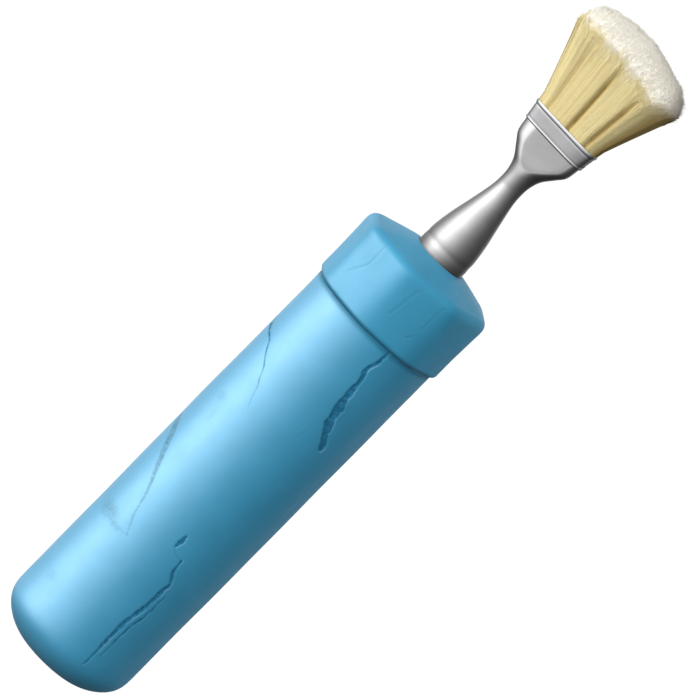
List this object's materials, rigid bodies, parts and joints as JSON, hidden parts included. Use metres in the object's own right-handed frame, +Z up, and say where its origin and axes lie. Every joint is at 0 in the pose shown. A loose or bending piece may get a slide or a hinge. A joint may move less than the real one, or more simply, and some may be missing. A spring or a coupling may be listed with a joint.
{
  "type": "foam-grip paint brush",
  "caption": "Narrow fanned bristle brush in a beaded steel ferrule, with a flattened steel neck and a fat blue foam grip closed by an eight-sided foam collar.",
  "frame": {"origin": "centre of the flat butt at the bottom of the foam grip", "axes": "+Z up the handle towards the bristles, X the width of the brush head, -Y its front"},
  "size_m": [0.0486, 0.0486, 0.2591],
  "materials": {
    "grip_foam": "matte closed-cell foam, worn and cracked",
    "collar_foam": "matte closed-cell foam, moulded",
    "core_plastic": "natural moulded plastic",
    "zinc_steel": "zinc-plated",
    "neck_steel": "satin polished",
    "ferrule_steel": "rolled sheet, satin polished",
    "epoxy": "set resin",
    "spacer_wood": "plain sawn strip",
    "bristle": "natural bristle, pale flagged tips"
  },
  "bodies": {
    "handle": {"foam_grip": "grip_foam", "grip_collar": "collar_foam", "core_tube": "core_plastic", "core_end_plug": "core_plastic", "core_top_bush": "core_plastic", "neck_washer": "zinc_steel", "tang_rod": "zinc_steel", "neck": "neck_steel", "ferrule_band": "ferrule_steel", "ferrule_pin_left": "zinc_steel", "ferrule_pin_right": "zinc_steel", "epoxy_plug": "epoxy", "spacer_strip": "spacer_wood", "bristle_roots_front": "bristle", "bristle_roots_back": "bristle"},
    "bristles": {"clump_front_1": "bristle", "clump_back_1": "bristle", "clump_front_2": "bristle", "clump_back_2": "bristle", "clump_front_3": "bristle", "clump_back_3": "bristle", "clump_front_4": "bristle", "clump_back_4": "bristle"}
  },
  "joints": [
    {"name": "bristle_flex", "type": "hinge", "parent": "handle", "child": "bristles", "pos_m": [0, 0, 0.2229], "axis": [1, 0, 0], "range_deg": [-25, 25], "stiffness_Nm_per_rad": 0.15}
  ]
}
